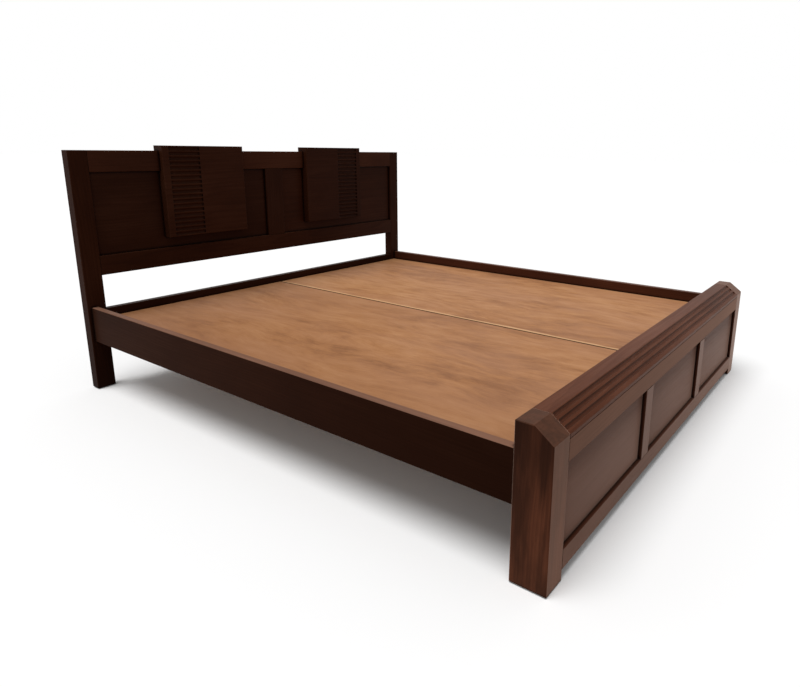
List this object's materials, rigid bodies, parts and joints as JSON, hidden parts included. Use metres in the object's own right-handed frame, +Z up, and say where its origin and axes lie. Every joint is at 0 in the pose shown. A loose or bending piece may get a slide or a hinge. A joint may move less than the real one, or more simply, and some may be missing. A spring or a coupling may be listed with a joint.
{
  "type": "bed frame",
  "caption": "Dark stained wooden bed frame with a panelled headboard that carries two grooved blocks, a low boxed footboard with a fluted cap, side rails and a plywood deck.",
  "frame": {"origin": "on the floor, under the middle of the frame's overall length and width", "axes": "+X to the right seen from the foot, +Y from the foot to the head, +Z up"},
  "size_m": [1.92, 2.138, 1],
  "materials": {
    "stained_wood": "satin dark brown stain and lacquer",
    "deck_plywood": "bare sanded plywood",
    "plain_wood": "bare planed softwood",
    "zinc_steel": "zinc plated",
    "black_plastic": "moulded matte"
  },
  "bodies": {
    "frame": {"head_post_left": "stained_wood", "head_post_right": "stained_wood", "headboard_top_rail": "stained_wood", "headboard_bottom_rail": "stained_wood", "headboard_mullion": "stained_wood", "headboard_panel_left": "stained_wood", "headboard_panel_right": "stained_wood", "headboard_block_left": "stained_wood", "headboard_block_right": "stained_wood", "head_cross_rail": "stained_wood", "side_rail_left": "stained_wood", "side_rail_right": "stained_wood", "side_ledger_left": "plain_wood", "side_ledger_right": "plain_wood", "deck_bearer_1": "plain_wood", "deck_bearer_2": "plain_wood", "deck_bearer_3": "plain_wood", "deck_bearer_4": "plain_wood", "deck_bearer_5": "plain_wood", "deck_bearer_6": "plain_wood", "centre_beam": "plain_wood", "beam_cleats": "plain_wood", "centre_leg_head": "plain_wood", "centre_leg_middle": "plain_wood", "centre_leg_foot": "plain_wood", "foot_post_left": "stained_wood", "foot_post_right": "stained_wood", "footboard_cap": "stained_wood", "footboard_top_rail": "stained_wood", "footboard_bottom_rail": "stained_wood", "footboard_mullion_left": "stained_wood", "footboard_mullion_right": "stained_wood", "footboard_panel_left": "stained_wood", "footboard_panel_centre": "stained_wood", "footboard_panel_right": "stained_wood", "foot_cross_rail": "stained_wood", "rail_hook_plates": "zinc_steel", "post_slot_plates": "zinc_steel", "plate_screws": "zinc_steel", "ledger_screws": "zinc_steel", "bearer_screws": "zinc_steel", "block_screws": "zinc_steel", "cleat_screws": "zinc_steel", "cap_dowels": "plain_wood", "leg_bolts": "zinc_steel", "leg_glides": "black_plastic"},
    "deck_left": {"deck_board_left": "deck_plywood"},
    "deck_right": {"deck_board_right": "deck_plywood"}
  },
  "joints": [
    {"name": "deck_left_lift", "type": "slide", "parent": "frame", "child": "deck_left", "axis": [0, 0, 1], "range_m": [0, 0.15]},
    {"name": "deck_right_lift", "type": "slide", "parent": "frame", "child": "deck_right", "axis": [0, 0, 1], "range_m": [0, 0.15]}
  ]
}
